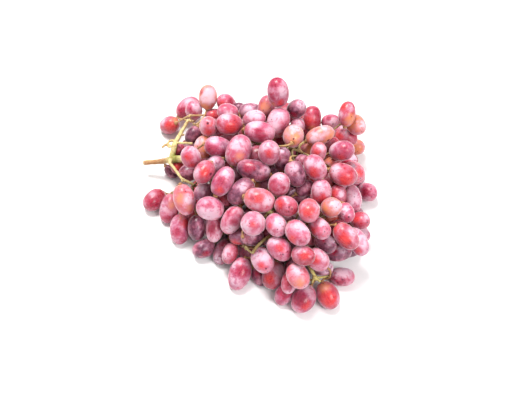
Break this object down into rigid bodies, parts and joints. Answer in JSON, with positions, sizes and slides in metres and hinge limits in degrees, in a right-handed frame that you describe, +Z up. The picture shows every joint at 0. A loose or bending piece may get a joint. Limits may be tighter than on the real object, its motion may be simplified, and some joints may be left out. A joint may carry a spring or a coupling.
{
  "type": "bunch of grapes",
  "caption": "Broad, loosely shouldered bunch of pink and red grapes with long oval berries on a branching woody stem, lying on its side as if on a table.",
  "frame": {"origin": "centre of the bunch's footprint, on the surface that it rests on", "axes": "+Z up out of the resting surface; +X from the cut end of the stalk towards the bunch's right shoulder; +Y across the bunch along its longest side, from the narrow lower side to the wide upper side"},
  "size_m": [0.2032, 0.215, 0.0866],
  "materials": {
    "grape_skin": "thin translucent fruit skin, rose to crimson and mauve with amber by the stalk, semi-gloss where rubbed and pale where its waxy bloom is left",
    "grape_stem": "matt, fibrous stem, straw and tan with green-olive knuckles and a dry brown cut end"
  },
  "bodies": {
    "root": {"peduncle_and_rachis": "grape_stem", "berry_branch_01": "grape_skin", "berry_branch_02": "grape_skin", "berry_branch_03": "grape_skin", "berry_branch_04": "grape_skin", "berry_branch_05": "grape_skin", "berry_branch_06": "grape_skin", "berry_branch_07": "grape_skin", "berry_branch_08": "grape_skin", "berry_branch_09": "grape_skin", "berry_branch_10": "grape_skin", "berry_branch_11": "grape_skin", "berry_branch_12": "grape_skin", "berry_branch_13": "grape_skin", "berry_branch_14": "grape_skin", "berry_branch_15": "grape_skin", "berry_branch_16": "grape_skin", "berry_branch_17": "grape_skin", "berry_branch_18": "grape_skin", "berry_branch_19": "grape_skin", "berry_branch_20": "grape_skin", "berry_branch_21": "grape_skin", "berry_branch_22": "grape_skin", "berry_branch_23": "grape_skin", "berry_branch_24": "grape_skin", "berry_branch_25": "grape_skin", "berry_branch_26": "grape_skin", "berry_branch_27": "grape_skin", "berry_branch_28": "grape_skin", "berry_branch_29": "grape_skin", "berry_branch_30": "grape_skin", "berry_branch_31": "grape_skin", "berry_branch_32": "grape_skin", "berry_branch_33": "grape_skin", "berry_branch_34": "grape_skin", "berry_branch_35": "grape_skin", "berry_branch_36": "grape_skin", "berry_branch_37": "grape_skin", "berry_branch_38": "grape_skin", "berry_branch_39": "grape_skin", "berry_branch_40": "grape_skin", "berry_branch_41": "grape_skin", "berry_branch_42": "grape_skin", "berry_branch_43": "grape_skin", "berry_branch_44": "grape_skin", "berry_branch_45": "grape_skin", "berry_branch_46": "grape_skin", "berry_branch_47": "grape_skin", "berry_branch_48": "grape_skin", "berry_branch_49": "grape_skin", "berry_branch_50": "grape_skin"}
  },
  "joints": []
}
